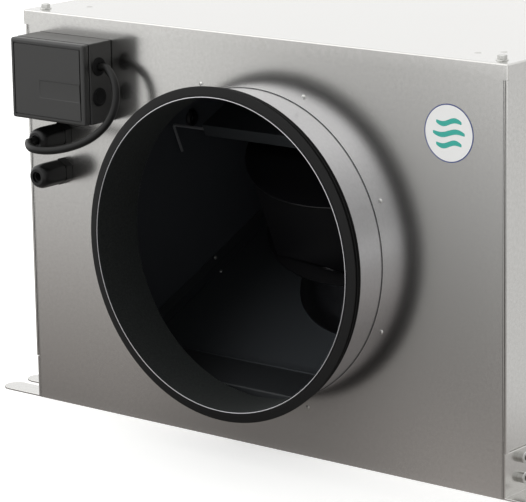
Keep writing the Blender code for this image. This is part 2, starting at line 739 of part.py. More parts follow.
def gland(which):
    """Hexagon base with its thread through the panel, and a domed clamping nut."""
    at = facing(GLAND_X, FRONT, GLAND_HEIGHTS[which], -1)
    corner = GLAND_FLATS / 2 / math.cos(math.pi / 6)
    hexagon = Matrix.Translation((0, 0, GAP + GLAND_BASE / 2))
    base = cylinder(f"{which}_gland_base", corner, GLAND_BASE, at @ hexagon, 6, PLASTIC)
    stub_length = 2 * SHEET + PANEL_FLANGE / 2
    stub = cylinder(f"{which}_gland_stub", GLAND_STUB, stub_length, at, SMALL_STEPS)
    cut(base, stub, "UNION")
    bore = cylinder(f"{which}_gland_bore", GLAND_BORE, 4 * GLAND_BASE, at, SMALL_STEPS)
    cut(base, bore)
    low = GAP + GLAND_BASE + GAP
    high = low + GLAND_NUT_LENGTH
    body = GLAND_NUT_FLATS / 2
    shoulder = low + GLAND_NUT_LENGTH * 0.55
    profile = [(GLAND_NOSE_RADIUS, high)]
    for step in range(1, 4):
        turn = math.pi / 2 * step / 4
        radius = GLAND_NOSE_RADIUS + (body - GLAND_NOSE_RADIUS) * math.sin(turn)
        profile.append((radius, shoulder + (high - shoulder) * math.cos(turn)))
    profile += [(body, shoulder), (body, low), (GLAND_BORE, low), (GLAND_BORE, high)]
    turned(f"{which}_gland_nut", profile, PLASTIC, SMALL_STEPS, at)


def smooth_route(anchors, step):
    """Points a step apart on a smooth curve through the anchors."""
    ends = [anchors[0] * 2 - anchors[1], *anchors, anchors[-1] * 2 - anchors[-2]]
    fine = []
    for index in range(1, len(ends) - 2):
        before, start, stop, after = ends[index - 1:index + 3]
        for part in range(24):
            t = part / 24
            fine.append(
                0.5 * (
                    2 * start
                    + (stop - before) * t
                    + (2 * before - 5 * start + 4 * stop - after) * t ** 2
                    + (3 * start - before - 3 * stop + after) * t ** 3
                )
            )
    fine.append(anchors[-1])
    length = sum((b - a).length for a, b in zip(fine, fine[1:]))
    count = max(2, round(length / step))
    points = [fine[0]]
    walked = 0.0
    for a, b in zip(fine, fine[1:]):
        walked += (b - a).length
        if walked >= length / count * len(points) and len(points) < count:
            points.append(b)
    points.append(fine[-1])
    return points


def control_cable():
    """Lead from the upper entry of the terminal box, round and into the upper gland."""
    exit_x = TERMINAL_LEFT + TERMINAL_WIDTH + GAP
    nose = GAP + GLAND_BASE + GAP + GLAND_NUT_LENGTH
    middle = [
        (-0.1590, 0.0235, 0.3590),
        (-0.1535, 0.0270, 0.3430),
        (-0.1555, 0.0310, 0.3260),
        (-0.1640, 0.0365, 0.3110),
        (-0.1790, 0.0430, 0.2985),
        (-0.1985, 0.0510, 0.2900),
        (-0.2190, 0.0590, 0.2860),
        (-0.2375, 0.0625, 0.2865),
    ]
    start = Vector((exit_x, FRONT - ENTRY_DEPTH, ENTRY_HEIGHTS[0]))
    end = Vector((GLAND_X, FRONT - nose - GAP, GLAND_HEIGHTS["upper"]))
    sideways = Vector((CABLE_LEAD, 0.0, 0.0))
    outwards = Vector((0.0, -CABLE_LEAD, 0.0))
    anchors = [start, start + sideways, start + 2 * sideways]
    anchors += [Vector((x, FRONT - out, z)) for x, out, z in middle]
    anchors += [end + 2 * outwards, end + outwards, end]
    return wire("control_cable", smooth_route(anchors, CABLE_STEP), CABLE_RADIUS, RUBBER, 2)


def arc(centre_x, centre_y, radius, start, stop, steps):
    points = []
    for step in range(steps + 1):
        turn = math.radians(start + (stop - start) * step / steps)
        points.append((centre_x + radius * math.cos(turn), centre_y + radius * math.sin(turn)))
    return points


def foot_outline():
    """Plan of a mounting bracket: two round fingers with an open slot between them."""
    finger = (FOOT_WIDTH - FOOT_SLOT) / 2
    tip = finger / 2
    slot = FOOT_SLOT / 2
    points = [(-FOOT_SHEET, 0.0)]
    points += arc(FOOT_REACH - tip, tip, tip, -90, 90, 8)
    points += arc(FOOT_REACH - FOOT_SLOT_DEPTH, FOOT_WIDTH / 2, slot, 270, 90, 6)
    points += arc(FOOT_REACH - tip, FOOT_WIDTH - tip, tip, -90, 90, 8)
    points.append((-FOOT_SHEET, FOOT_WIDTH))
    return points


def mounting_bracket(name, side, outward):
    """Angle with a flange on the side panel and a slotted foot on the ground."""
    seat = side * (HALF_WIDTH + GAP)
    start = outward * HALF_LENGTH
    inward = -outward
    curve = bpy.data.curves.new(name + "_outline", "CURVE")
    curve.dimensions = "2D"
    curve.fill_mode = "BOTH"
    curve.extrude = FOOT_RISE
    spline = curve.splines.new("POLY")
    outline = foot_outline()
    spline.points.add(len(outline) - 1)
    spline.use_cyclic_u = True
    for target, (reach, along) in zip(spline.points, outline):
        target.co = (seat + side * reach, start + inward * along, 0.0, 1.0)
    flat = bpy.data.objects.new(name + "_outline", curve)
    FAN.objects.link(flat)
    plan = solid_from_curve(flat)
    bm = bmesh.new()
    bm.from_mesh(plan.data)
    bmesh.ops.recalc_face_normals(bm, faces=bm.faces)
    bm.to_mesh(plan.data)
    bm.free()
    bm = bmesh.new()
    points = [
        bm.verts.new((seat, start, FOOT_RISE)),
        bm.verts.new((seat, start, 0.0)),
        bm.verts.new((seat + side * FOOT_REACH, start, 0.0)),
    ]
    edges = [bm.edges.new(pair) for pair in zip(points, points[1:])]
    strip = bmesh.ops.extrude_edge_only(bm, edges=edges)["geom"]
    moved = [item for item in strip if isinstance(item, bmesh.types.BMVert)]
    bmesh.ops.translate(bm, vec=(0.0, inward * FOOT_WIDTH, 0.0), verts=moved)
    foot = min(bm.faces, key=lambda f: f.calc_center_median().z)
    if foot.normal.z < 0:
        bmesh.ops.reverse_faces(bm, faces=bm.faces)
    obj = place(mesh_object(name, bm), GALVANISED)
    thicken(obj, FOOT_SHEET, 1.0)
    cut(obj, plan, "INTERSECT")
    return obj


def casing():
    end_panel("front_panel", -1)
    end_panel("rear_panel", 1)
    side_panel("left_panel", -1)
    side_panel("right_panel", 1)
    floor_panel()
    lid()
    linings()


def ends():
    for name, outward in (("front", -1), ("rear", 1)):
        spigot(name + "_spigot", outward)
        seal(name + "_seal", outward)
        for hand, side in (("left", -1), ("right", 1)):
            mounting_bracket(f"{name}_{hand}_bracket", side, outward)


def fan_unit():
    fixed = fan_axis("motor_axis")
    spinning = fan_axis("impeller_axis")
    bulkhead()
    bulkhead_edge("bulkhead_left_edge", -1)
    bulkhead_edge("bulkhead_right_edge", 1)
    inlet_cone(fixed)
    motor_stator(fixed)
    motor_bracket(fixed)
    bracket_leg("bracket_left_leg", -1, fixed)
    bracket_leg("bracket_right_leg", 1, fixed)
    cable_hook(fixed)
    wall_grommet()
    motor_rotor(spinning)
    impeller_back_plate(spinning)
    impeller_shroud(spinning)
    for index in range(BLADE_COUNT):
        impeller_blade(index, spinning)


def electrical():
    terminal_box()
    entry_grommets()
    gland("upper")
    gland("lower")
    control_cable()


casing()
ends()
fan_unit()
electrical()
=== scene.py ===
# Looks of the insulated inline duct fan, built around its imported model.
# Metres, +Z up. The outlet end with the cable entries faces -Y.
import json
import math

import bmesh
import bpy
from mathutils import Matrix, Vector


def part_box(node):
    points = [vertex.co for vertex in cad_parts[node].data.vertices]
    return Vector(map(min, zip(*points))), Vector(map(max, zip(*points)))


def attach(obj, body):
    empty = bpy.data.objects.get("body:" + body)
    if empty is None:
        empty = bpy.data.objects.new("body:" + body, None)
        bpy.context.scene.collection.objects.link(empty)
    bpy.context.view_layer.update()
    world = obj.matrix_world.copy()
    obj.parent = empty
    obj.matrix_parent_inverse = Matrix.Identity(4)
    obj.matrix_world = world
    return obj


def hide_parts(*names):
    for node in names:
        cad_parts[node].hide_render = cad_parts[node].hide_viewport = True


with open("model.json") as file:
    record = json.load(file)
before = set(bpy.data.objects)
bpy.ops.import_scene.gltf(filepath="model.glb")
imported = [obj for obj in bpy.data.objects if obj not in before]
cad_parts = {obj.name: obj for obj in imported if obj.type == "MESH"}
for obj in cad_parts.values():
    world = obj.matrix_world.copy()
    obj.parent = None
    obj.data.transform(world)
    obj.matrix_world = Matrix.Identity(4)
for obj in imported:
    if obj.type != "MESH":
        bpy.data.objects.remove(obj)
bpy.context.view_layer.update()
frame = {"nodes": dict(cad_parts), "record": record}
scene = bpy.context.scene
print("frame loaded:", len(frame["nodes"]), "nodes")


# camera fitted to the corners of the outlet end, the lid and the spigot's rim
photo = {
    "width": 526,  # pixels across
    "sensor": 36.0,
    "focalPixels": 2930.8,
    "yaw": 39.02,  # degrees, as pitch and roll are
    "pitch": 13.41,
    "roll": -0.92,
    "distance": 2.8868,
    "target": (0.01096, -0.400, 0.20178),
    "nearest": 0.05,
    "farthest": 50.0,
}


def buildCamera():
    yaw, pitch, roll = (math.radians(photo[key]) for key in ("yaw", "pitch", "roll"))
    level = math.cos(pitch)
    forward = Vector((-math.sin(yaw) * level, math.cos(yaw) * level, -math.sin(pitch)))
    camera = bpy.data.objects.new("photoCamera", bpy.data.cameras.new("photoCamera"))
    scene.collection.objects.link(camera)
    camera.data.sensor_width = photo["sensor"]
    camera.data.lens = photo["focalPixels"] * photo["sensor"] / photo["width"]
    camera.data.clip_start = photo["nearest"]
    camera.data.clip_end = photo["farthest"]
    turn = forward.to_track_quat("-Z", "Y").to_matrix().to_4x4()
    place = Matrix.Translation(Vector(photo["target"]) - forward * photo["distance"])
    camera.matrix_world = place @ turn @ Matrix.Rotation(roll, 4, "Z")
    scene.camera = camera


buildCamera()
print("camera placed")

# what the object measures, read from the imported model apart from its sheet's thickness
ductLow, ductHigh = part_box("front_spigot")
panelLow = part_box("front_panel")[0]
lidLow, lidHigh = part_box("lid")
casing = {
    "halfLength": -panelLow[1],
    "halfWidth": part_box("right_panel")[1][0],
    "top": lidHigh[2],
    "ductHeight": (ductLow[2] + ductHigh[2]) / 2,
    "ductRadius": (ductHigh[0] - ductLow[0]) / 2,
    "spigotLength": panelLow[1] - ductLow[1],
    "sheet": 0.0012,
}


def linear(code):
    values = [int(code[i:i + 2], 16) / 255 for i in (1, 3, 5)]
    return [v / 12.92 if v <= 0.04045 else ((v + 0.055) / 1.055) ** 2.4 for v in values] + [1.0]


def addNode(tree, kind, settings=None, inputs=None):
    # a Mix node's inputs go by number: 2 and 3 are values, 4 and 5 vectors, 6 and 7 colours
    node = tree.nodes.new(kind)
    for key, value in (settings or {}).items():
        setattr(node, key, value)
    for key, value in (inputs or {}).items():
        if isinstance(value, bpy.types.NodeSocket):
            tree.links.new(value, node.inputs[key])
        else:
            node.inputs[key].default_value = value
    return node


def makeMaterial(name, colour, roughness, metallic=0.0, ior=None, grain=None):
    material = bpy.data.materials.new(name)
    material.use_nodes = True
    material.diffuse_color = linear(colour)
    tree = material.node_tree
    shader = tree.nodes["Principled BSDF"]
    shader.inputs["Base Color"].default_value = linear(colour)
    shader.inputs["Roughness"].default_value = roughness
    shader.inputs["Metallic"].default_value = metallic
    if ior:
        shader.inputs["IOR"].default_value = ior
    if grain:
        addGrain(tree, shader, **grain)
    return material


# fine noise that gives a surface its specks
grainNoise = {
    "finish": {"Detail": 3.0, "Roughness": 0.6},
    "range": {"From Min": 0.33, "From Max": 0.67},  # where nearly all of the noise lies
    "millimetres": 1000,  # in a metre
}


def addGrain(tree, shader, size, dark, light, height=0.0):
    # size is the width of one speck and height its relief, both in mm
    place = addNode(tree, "ShaderNodeTexCoord")
    noise = addNode(tree, "ShaderNodeTexNoise", None, {
        "Vector": place.outputs["Object"],
        "Scale": grainNoise["millimetres"] / (2 * size),
        **grainNoise["finish"],
    })
    spread = addNode(tree, "ShaderNodeMapRange", None, {
        "Value": noise.outputs["Fac"], **grainNoise["range"]})
    tint = addNode(tree, "ShaderNodeMix", {"data_type": "RGBA"}, {
        0: spread.outputs["Result"],
        6: linear(dark),
        7: linear(light),
    })
    tree.links.new(tint.outputs[2], shader.inputs["Base Color"])
    if height:
        bump = addNode(tree, "ShaderNodeBump", None, {
            "Height": noise.outputs["Fac"],
            "Strength": 1.0,
            "Distance": height / grainNoise["millimetres"],
        })
        tree.links.new(bump.outputs["Normal"], shader.inputs["Normal"])


# zinc coated sheet: a soft mirror with a faint cloudiness in the zinc
galvanisedSheet = makeMaterial(
    "galvanisedSheet", "#c6c5c2", 0.22, 1.0,
    grain={"size": 1.6, "dark": "#c3c2bf", "light": "#c9c8c5"})
# the same zinc on the rolled tube, a little brighter and bluer than the sheet
galvanisedTube = makeMaterial(
    "galvanisedTube", "#c8c8cb", 0.30, 1.0,
    grain={"size": 1.6, "dark": "#c5c5c8", "light": "#cbcbce"})
# extruded duct seal rubber: dark, dull, with a soft sheen on its lips
sealRubber = makeMaterial("sealRubber", "#0b0b0b", 0.65, ior=1.33)
# painted shade of the gap round the tube: a thin dull dark line in the seam
gapShadeRing = makeMaterial("gapShadeRing", "#5c5d5d", 0.80, ior=1.5)
# glass tissue that lines the tube: matt and nearly black, with pale fibre ends
glassTissue = makeMaterial(
    "glassTissue", "#151817", 0.95, ior=1.5,
    grain={"size": 0.9, "dark": "#0c0f0e", "light": "#202423", "height": 0.25})
# sealed facing of the wool boards on the floor and under the lid: smooth, slightly blue, and
# darkened with painted shade
facingPaintedShade = makeMaterial("facingPaintedShade", "#26282a", 0.60, ior=1.5)
# the same facing on the side boards, painted lighter: painted light for the light they catch
facingPaintedLight = makeMaterial("facingPaintedLight", "#4d5055", 0.60, ior=1.5)
# powder coated inner sheet: even satin grey
coatedSheet = makeMaterial("coatedSheet", "#3d4043", 0.50, ior=1.5)
# coated aluminium casting of the motor: dull grey with a slight metal glint
coatedCasting = makeMaterial("coatedCasting", "#3a3b3d", 0.45, 0.4)
# glass filled nylon of the impeller: near black with a low sheen
impellerNylon = makeMaterial("impellerNylon", "#0e0e10", 0.42, ior=1.5)
# spark eroded ABS of the terminal box: even dark grey, finely grained
boxPlastic = makeMaterial(
    "boxPlastic", "#222221", 0.40, ior=1.53,
    grain={"size": 0.5, "dark": "#1f1f1e", "light": "#252524", "height": 0.02})
# moulded rubber of the grommets: matt black
grommetRubber = makeMaterial("grommetRubber", "#101010", 0.60, ior=1.52)
# black rubber of the box's side entries, made blacker and duller than the grommets' with painted
# shade of a deep recess
recessShadeRubber = makeMaterial("recessShadeRubber", "#060606", 0.85, ior=1.35)
# soft PVC jacket: black with a long soft highlight
cableJacket = makeMaterial("cableJacket", "#0e0e0d", 0.42, ior=1.36)
# moulded nylon of the cable glands: black, satin
glandNylon = makeMaterial("glandNylon", "#0a0a0a", 0.40, ior=1.40)
# zinc plated screws, bolts and rivets: bright and fairly sharp
platedSteel = makeMaterial("platedSteel", "#bdbdba", 0.28, 1.0)
# grey wire of the cable hook, an even light grey that stands out against the dark inside
hookGreyWire = makeMaterial("hookGreyWire", "#86878a", 0.40, ior=1.5)
# printed vinyl label: flat white film with two inks
labelFilm = makeMaterial("labelFilm", "#f3f3f2", 0.40, ior=1.5)
labelNavy = makeMaterial("labelNavy", "#33427c", 0.40, ior=1.5)
labelTeal = makeMaterial("labelTeal", "#35ad9f", 0.40, ior=1.5)
print("materials ready")

weldGap = 0.000001  # vertices closer than this are one
flatAngle = 0.5  # faces that turn less than this many degrees at an edge are one


def finishPiece(bm, name, materials, body, hides=(), smooth=35):
    # smooth is the angle in degrees from which an edge stays sharp
    bmesh.ops.remove_doubles(bm, verts=bm.verts, dist=weldGap)
    bmesh.ops.recalc_face_normals(bm, faces=bm.faces)
    mesh = bpy.data.meshes.new(name)
    bm.to_mesh(mesh)
    bm.free()
    for material in materials:
        mesh.materials.append(material)
    mesh.shade_smooth()
    mesh.set_sharp_from_angle(angle=math.radians(smooth))
    piece = bpy.data.objects.new(name, mesh)
    scene.collection.objects.link(piece)
    flatter = piece.modifiers.new("flatFacesStayFlat", "WEIGHTED_NORMAL")
    flatter.keep_sharp = True
    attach(piece, body)
    if hides:
        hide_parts(*hides)
    return piece


def roundEdges(bm, width, segments=2, angle=30):
    sharp = [e for e in bm.edges if e.is_manifold and e.calc_face_angle() > math.radians(angle)]
    bmesh.ops.bevel(
        bm, geom=sharp, offset=width, offset_type="OFFSET", affect="EDGES",
        segments=segments, profile=0.5, material=-1, clamp_overlap=True)


def turnProfile(bm, profile, steps, place, closed=True):
    # profile points are (radius, height); an open one starts and ends on the axis
    verts = [bm.verts.new((radius, 0.0, height)) for radius, height in profile]
    pairs = list(zip(verts, verts[1:])) + ([(verts[-1], verts[0])] if closed else [])
    edges = [bm.edges.new(pair) for pair in pairs]
    bmesh.ops.spin(
        bm, geom=verts + edges, cent=(0, 0, 0), axis=(0, 0, 1),
        steps=steps, angle=2 * math.pi, use_merge=True)
    bmesh.ops.remove_doubles(bm, verts=bm.verts, dist=weldGap)
    bmesh.ops.recalc_face_normals(bm, faces=bm.faces)
    bmesh.ops.transform(bm, matrix=place, verts=bm.verts)


def addPart(target, source):
    # adds the finished bmesh source to target
    mesh = bpy.data.meshes.new("partCopy")
    source.to_mesh(mesh)
    source.free()
    target.from_mesh(mesh)
    bpy.data.meshes.remove(mesh)


def blockMesh(low, high, rounding=0.0, segments=4):
    bm = bmesh.new()
    size = [b - a for a, b in zip(low, high)]
    middle = [(a + b) / 2 for a, b in zip(low, high)]
    bmesh.ops.create_cube(bm, size=1.0)
    bmesh.ops.scale(bm, vec=size, verts=bm.verts)
    bmesh.ops.translate(bm, vec=middle, verts=bm.verts)
    if rounding:
        roundEdges(bm, rounding, segments)
    return bm


def facing(x, y, z, outward):
    # turns +Z to the outlet end (outward -1) or to the inlet end (outward 1)
    return Matrix.Translation((x, y, z)) @ Matrix.Rotation(-outward * math.pi / 2, 4, "X")


# parts whose shape is right only get softened edges:
# each node's finish, the width of its rounding and its body
softened = {
    "front_panel": (galvanisedSheet, 0.0006, "casing"),
    "rear_panel": (galvanisedSheet, 0.0006, "casing"),
    "left_panel": (galvanisedSheet, 0.0003, "casing"),
    "right_panel": (galvanisedSheet, 0.0003, "casing"),
    "floor_panel": (galvanisedSheet, 0.0004, "casing"),
    "front_left_bracket": (galvanisedSheet, 0.0005, "casing"),
    "front_right_bracket": (galvanisedSheet, 0.0005, "casing"),
    "rear_left_bracket": (galvanisedSheet, 0.0005, "casing"),
    "rear_right_bracket": (galvanisedSheet, 0.0005, "casing"),
    "floor_lining": (facingPaintedShade, 0.0020, "casing"),
    "lid_lining": (facingPaintedShade, 0.0020, "casing"),
    "left_lining": (facingPaintedLight, 0.0020, "casing"),
    "right_lining": (facingPaintedLight, 0.0020, "casing"),
    "bulkhead": (coatedSheet, 0.0005, "casing"),
    "bulkhead_left_edge": (coatedSheet, 0.0005, "casing"),
    "bulkhead_right_edge": (coatedSheet, 0.0005, "casing"),
    "motor_bracket": (coatedSheet, 0.0007, "casing"),
    "bracket_left_leg": (coatedSheet, 0.0007, "casing"),
    "bracket_right_leg": (coatedSheet, 0.0007, "casing"),
    "motor_stator": (coatedCasting, 0.0008, "casing"),
    "motor_rotor": (coatedCasting, 0.0008, "impeller"),
    "impeller_back_plate": (impellerNylon, 0.0006, "impeller"),
}
softened.update({f"impeller_blade_{i}": (impellerNylon, 0.0005, "impeller") for i in range(1, 8)})


def softenNode(node, material, width, body):
    bm = bmesh.new()
    bm.from_mesh(frame["nodes"][node].data)
    bmesh.ops.remove_doubles(bm, verts=bm.verts, dist=weldGap)
    bmesh.ops.dissolve_limit(
        bm, angle_limit=math.radians(flatAngle), verts=bm.verts, edges=bm.edges)
    roundEdges(bm, width)
    finishPiece(bm, "soft_" + node, [material], body, [node])


for node, (material, width, body) in softened.items():
    softenNode(node, material, width, body)
print("parts softened:", len(softened))


# lid: a shallow tray of folded sheet, open below
lidShape = {"fold": 0.0016, "foldSegments": 3}


def buildLid():
    bm = blockMesh(lidLow, lidHigh)
    under = [f for f in bm.faces if f.normal.z < -0.5]
    bmesh.ops.delete(bm, geom=under, context="FACES_ONLY")
    roundEdges(bm, lidShape["fold"], lidShape["foldSegments"])
    bmesh.ops.solidify(bm, geom=bm.faces, thickness=casing["sheet"])
    finishPiece(bm, "lidTray", [galvanisedSheet], "casing", ["lid"])


buildLid()


# narrow folded strips where the side panels meet the end panels
foldStrip = {
    "gap": 0.0008,  # to the side panel
    "outside": 0.0034,  # from the side panel to the strip's outer face
    "depth": 0.006,
    "rounding": 0.0005,
    "foot": 0.0454,  # it ends just over the foot's upright flange
    "underLid": 0.0004,
}


def buildFoldStrips():
    bm = bmesh.new()
    inner = casing["halfWidth"] + foldStrip["gap"]
    outer = casing["halfWidth"] + foldStrip["outside"]
    top = lidLow[2] - foldStrip["underLid"]
    for side in (-1, 1):
        for outward in (-1, 1):
            xs = sorted((side * inner, side * outer))
            ends = casing["halfLength"], casing["halfLength"] - foldStrip["depth"]
            ys = sorted(outward * end for end in ends)
            low, high = (xs[0], ys[0], foldStrip["foot"]), (xs[1], ys[1], top)
            addPart(bm, blockMesh(low, high, foldStrip["rounding"], 2))
    finishPiece(bm, "foldStrips", [galvanisedSheet], "casing")


buildFoldStrips()


# round duct ends: tube with a rounded rim, flange ring behind the panel, seal with three lips
duct = {
    "steps": 128,
    "wall": 0.0010,
    "behind": 0.0027,  # how far the tube reaches behind the panel's face
    "rimRoll": 0.0004,
    "insideMargin": 0.0001,  # faces this near the inner wall are lined with tissue
    "rimTilt": 0.3,  # and faces that look along the tube more than this are the rim's
    "flange": 0.021,
    "sealBand": 0.0026,
    "sealEdge": 0.0010,  # back from the rim, as the lips' places and the seal's end are
    "lips": ((0.0098, 0.0026), (0.0087, 0.0080), (0.0077, 0.0130)),  # height, place
    "lipWidth": 0.0010,
    "lipRoot": 0.0014,  # how much further forward a lip starts at the valley
    "lipBack": 0.0004,  # and how much further back it ends there
    "valley": 0.0038,
    "sealEnd": 0.0152,
    "sealFoot": 0.0005,
    "sealRounding": 0.0002,
    # the dark seam ring is painted shade of the gap between tube and panel
    "seam": (0.0004, 0.0002),  # width and rise of the dark seam where tube and panel meet
    "gap": 0.0003,
}


def buildDuctEnd(name, outward):
    place = facing(0, outward * casing["halfLength"], casing["ductHeight"], outward)
    radius = casing["ductRadius"]
    rim = casing["spigotLength"]
    inner = radius - duct["wall"]
    tube = bmesh.new()
    profile = [(radius, rim), (radius, -duct["behind"]), (inner, -duct["behind"]), (inner, rim)]
    turnProfile(tube, profile, duct["steps"], Matrix())
    roundEdges(tube, duct["rimRoll"], 2)
    for face in tube.faces:
        middle = face.calc_center_median()
        onInside = math.hypot(middle.x, middle.y) < inner + duct["insideMargin"]
        if onInside and abs(face.normal.z) < duct["rimTilt"]:
            face.material_index = 1
    bmesh.ops.transform(tube, matrix=place, verts=tube.verts)
    node = name + "_spigot"
    finishPiece(
        tube, name + "DuctTube", [galvanisedTube, glassTissue], "casing", [node])
    flange = bmesh.new()
    front = -casing["sheet"] - duct["gap"]
    back = front - casing["sheet"]
    edge = radius + duct["flange"]
    hole = radius + duct["gap"]
    profile = [(edge, front), (edge, back), (hole, back), (hole, front)]
    turnProfile(flange, profile, duct["steps"], place)
    node = name + "_spigot_flange"
    finishPiece(flange, name + "DuctFlange", [galvanisedTube], "casing", [node])
    edge = rim - duct["sealEdge"]
    end = rim - duct["sealEnd"]
    valley = radius + duct["valley"]
    profile = [(hole, edge), (radius + duct["sealBand"], edge)]
    for index, (height, back) in enumerate(duct["lips"]):
        front = rim - back
        if index:
            profile.append((valley, front + duct["lipRoot"]))
        profile += [
            (radius + height, front), (radius + height, front - duct["lipWidth"]),
            (valley, front - duct["lipWidth"] - duct["lipBack"])]
    profile += [(hole + duct["sealFoot"], end), (hole, end)]
    seal = bmesh.new()
    turnProfile(seal, profile, duct["steps"], place)
    roundEdges(seal, duct["sealRounding"], 2)
    node = name + "_seal"
    finishPiece(seal, name + "DuctSeal", [sealRubber], "casing", [node])
    # a thin dull ring in the joint, painted shade of the gap between tube and panel
    width, rise = duct["seam"]
    profile = [(hole + width, rise), (hole + width, 0), (hole, 0), (hole, rise)]
    seam = bmesh.new()
    turnProfile(seam, profile, duct["steps"], place)
    finishPiece(seam, name + "DuctSeam", [gapShadeRing], "casing")


for name, outward in (("front", -1), ("rear", 1)):
    buildDuctEnd(name, outward)
print("lid and duct ends built")


# fan: inlet bell and shroud turned round the axis that leans with the bulkhead
joint = frame["record"]["behaviour"]["joints"][0]
fanAxis = Vector(joint["axis"])
fanTilt = math.atan2(-fanAxis.y, fanAxis.z)
fanPlace = Matrix.Translation(joint["pos_m"]) @ Matrix.Rotation(fanTilt, 4, "X")
shroud = {
    "eye": 0.105,
    "radius": 0.154,
    "start": 0.039,
    "height": 0.046,
    "wall": 0.0015,
    "curveSteps": 16,
    "steps": 112,
}
bell = {
    "throat": 0.1246,
    "lip": 0.098,
    "flange": 0.140,
    "seat": 0.0018,
    "height": 0.048,
    "sheet": 0.0012,
    "curveSteps": 14,
    "steps": 96,
}


def quarter(count):
    return [math.pi / 2 * step / count for step in range(count + 1)]


def buildShroud():
    across = shroud["radius"] - shroud["eye"]
    rows = []
    for inset in (0.0, -shroud["wall"]):
        rows.append([
            (shroud["radius"] - (across + inset) * math.cos(turn),
             shroud["start"] + (shroud["height"] + inset) * math.sin(turn))
            for turn in quarter(shroud["curveSteps"])])
    bm = bmesh.new()
    turnProfile(bm, rows[1][::-1] + rows[0], shroud["steps"], fanPlace)
    node = "impeller_shroud"
    finishPiece(bm, "impellerShroudRing", [impellerNylon], "impeller", [node])


def buildBell():
    top = bell["seat"] + bell["sheet"]
    reach = bell["throat"] - bell["lip"]
    inside = [
        (bell["lip"] + reach * (1 - math.sin(turn)),
         top + (bell["height"] - top) * (1 - math.cos(turn)))
        for turn in quarter(bell["curveSteps"])]
    outside = [(radius + bell["sheet"], height) for radius, height in inside]
    flat = [(bell["flange"], top), (bell["flange"], bell["seat"]), (bell["throat"], bell["seat"])]
    bm = bmesh.new()
    turnProfile(bm, outside[::-1] + flat + inside[1:], bell["steps"], fanPlace)
    finishPiece(bm, "inletBell", [galvanisedTube], "casing", ["inlet_cone"])


buildShroud()
buildBell()
print("fan turned, axis leans", round(math.degrees(fanTilt), 2), "degrees")


# terminal box: rounded base and cover, a groove round the face and a bare framed field
terminal = {
    "rounding": 0.0026,
    "grow": 0.0015,  # to the left and upwards
    "split": -0.4335,
    "splitGap": 0.0005,
    "grooveInset": 0.0042,
    "grooveWidth": 0.0013,
    "grooveDepth": 0.0014,
    "fieldLow": (-0.2424, 0.3355),  # its left and bottom edge
    "fieldHigh": (-0.1878, 0.3538),  # its right and top edge
    "fieldRise": 0.0004,  # of the frame over the cover
    "fieldFrame": 0.0008,
    "fieldSink": 0.00036,  # of the field below its frame
    "fieldRoot": 0.001,
}


def buildTerminalBox():
    low, high = (Vector(corner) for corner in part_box("terminal_box_base"))
    low += Vector((-terminal["grow"], terminal["split"] - low.y + terminal["splitGap"], 0))
    high.z += terminal["grow"]
    base = blockMesh(low, high, terminal["rounding"] / 2)
    node = "terminal_box_base"
    finishPiece(base, "terminalBase", [boxPlastic], "casing", [node])
    low, high = (Vector(corner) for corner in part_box("terminal_box_cover"))
    low.x -= terminal["grow"]
    high += Vector((0, terminal["split"] - high.y, terminal["grow"]))
    cover = blockMesh(low, high, terminal["rounding"])
    front = min(cover.faces, key=lambda f: f.calc_center_median().y)
    start = terminal["grooveInset"] - terminal["rounding"]
    bmesh.ops.inset_region(cover, faces=[front], thickness=start, use_even_offset=True)
    ring = bmesh.ops.inset_region(
        cover, faces=[front], thickness=terminal["grooveWidth"], use_even_offset=True)["faces"]
    sunk = bmesh.ops.extrude_face_region(cover, geom=ring)["geom"]
    moved = [item for item in sunk if isinstance(item, bmesh.types.BMVert)]
    bmesh.ops.translate(cover, vec=(0, terminal["grooveDepth"], 0), verts=moved)
    bmesh.ops.delete(cover, geom=ring, context="FACES_ONLY")
    left, bottom = terminal["fieldLow"]
    right, top = terminal["fieldHigh"]
    field = blockMesh(
        (left, low.y - terminal["fieldRise"], bottom), (right, low.y + terminal["fieldRoot"], top))
    front = min(field.faces, key=lambda f: f.calc_center_median().y)
    bmesh.ops.inset_region(
        field, faces=[front], thickness=terminal["fieldFrame"], use_even_offset=True)
    bmesh.ops.translate(field, vec=(0, terminal["fieldSink"], 0), verts=front.verts)
    addPart(cover, field)
    node = "terminal_box_cover"
    finishPiece(cover, "terminalCover", [boxPlastic], "casing", [node])


buildTerminalBox()


# rubber entries in the side of the terminal box: one with the cable, one still closed
entry = {
    "steps": 40,
    "radius": 0.0095,
    "stand": 0.0012,
    "rimSoft": 0.3,  # share of the stand that the rim's edge is cut off by
    "bore": 0.0042,
    "dish": 0.0008,
    "dishFloor": 0.6,  # shares of the radius
    "dishRim": 0.72,
}


def buildEntries():
    turnSideways = Matrix.Rotation(math.pi / 2, 4, "Y")
    radius, stand, soft = entry["radius"], entry["stand"], entry["rimSoft"]
    rim = [(radius - stand, stand), (radius - soft * stand, (1 - soft) * stand), (radius, 0.0)]
    for node in ("cable_grommet", "blind_grommet"):
        low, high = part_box(node)
        place = Matrix.Translation((low[0], (low[1] + high[1]) / 2, (low[2] + high[2]) / 2))
        hasBore = node == "cable_grommet"
        if hasBore:
            bore = entry["bore"]
            profile = rim + [(bore, 0.0), (bore, stand)]
        else:
            # the closed entry's dish is shallow; its near black paints the shade of a deep recess
            dish = stand - entry["dish"]
            floor, edge = entry["dishFloor"] * radius, entry["dishRim"] * radius
            profile = [(0.0, dish), (floor, dish), (edge, stand)] + rim + [(0.0, 0.0)]
        bm = bmesh.new()
        turnProfile(bm, profile, entry["steps"], place @ turnSideways, closed=hasBore)
        finishPiece(bm, node + "Ring", [recessShadeRubber], "casing", [node])


buildEntries()


ringMargin = 0.01  # share of its radius within which a ring of vertices is found


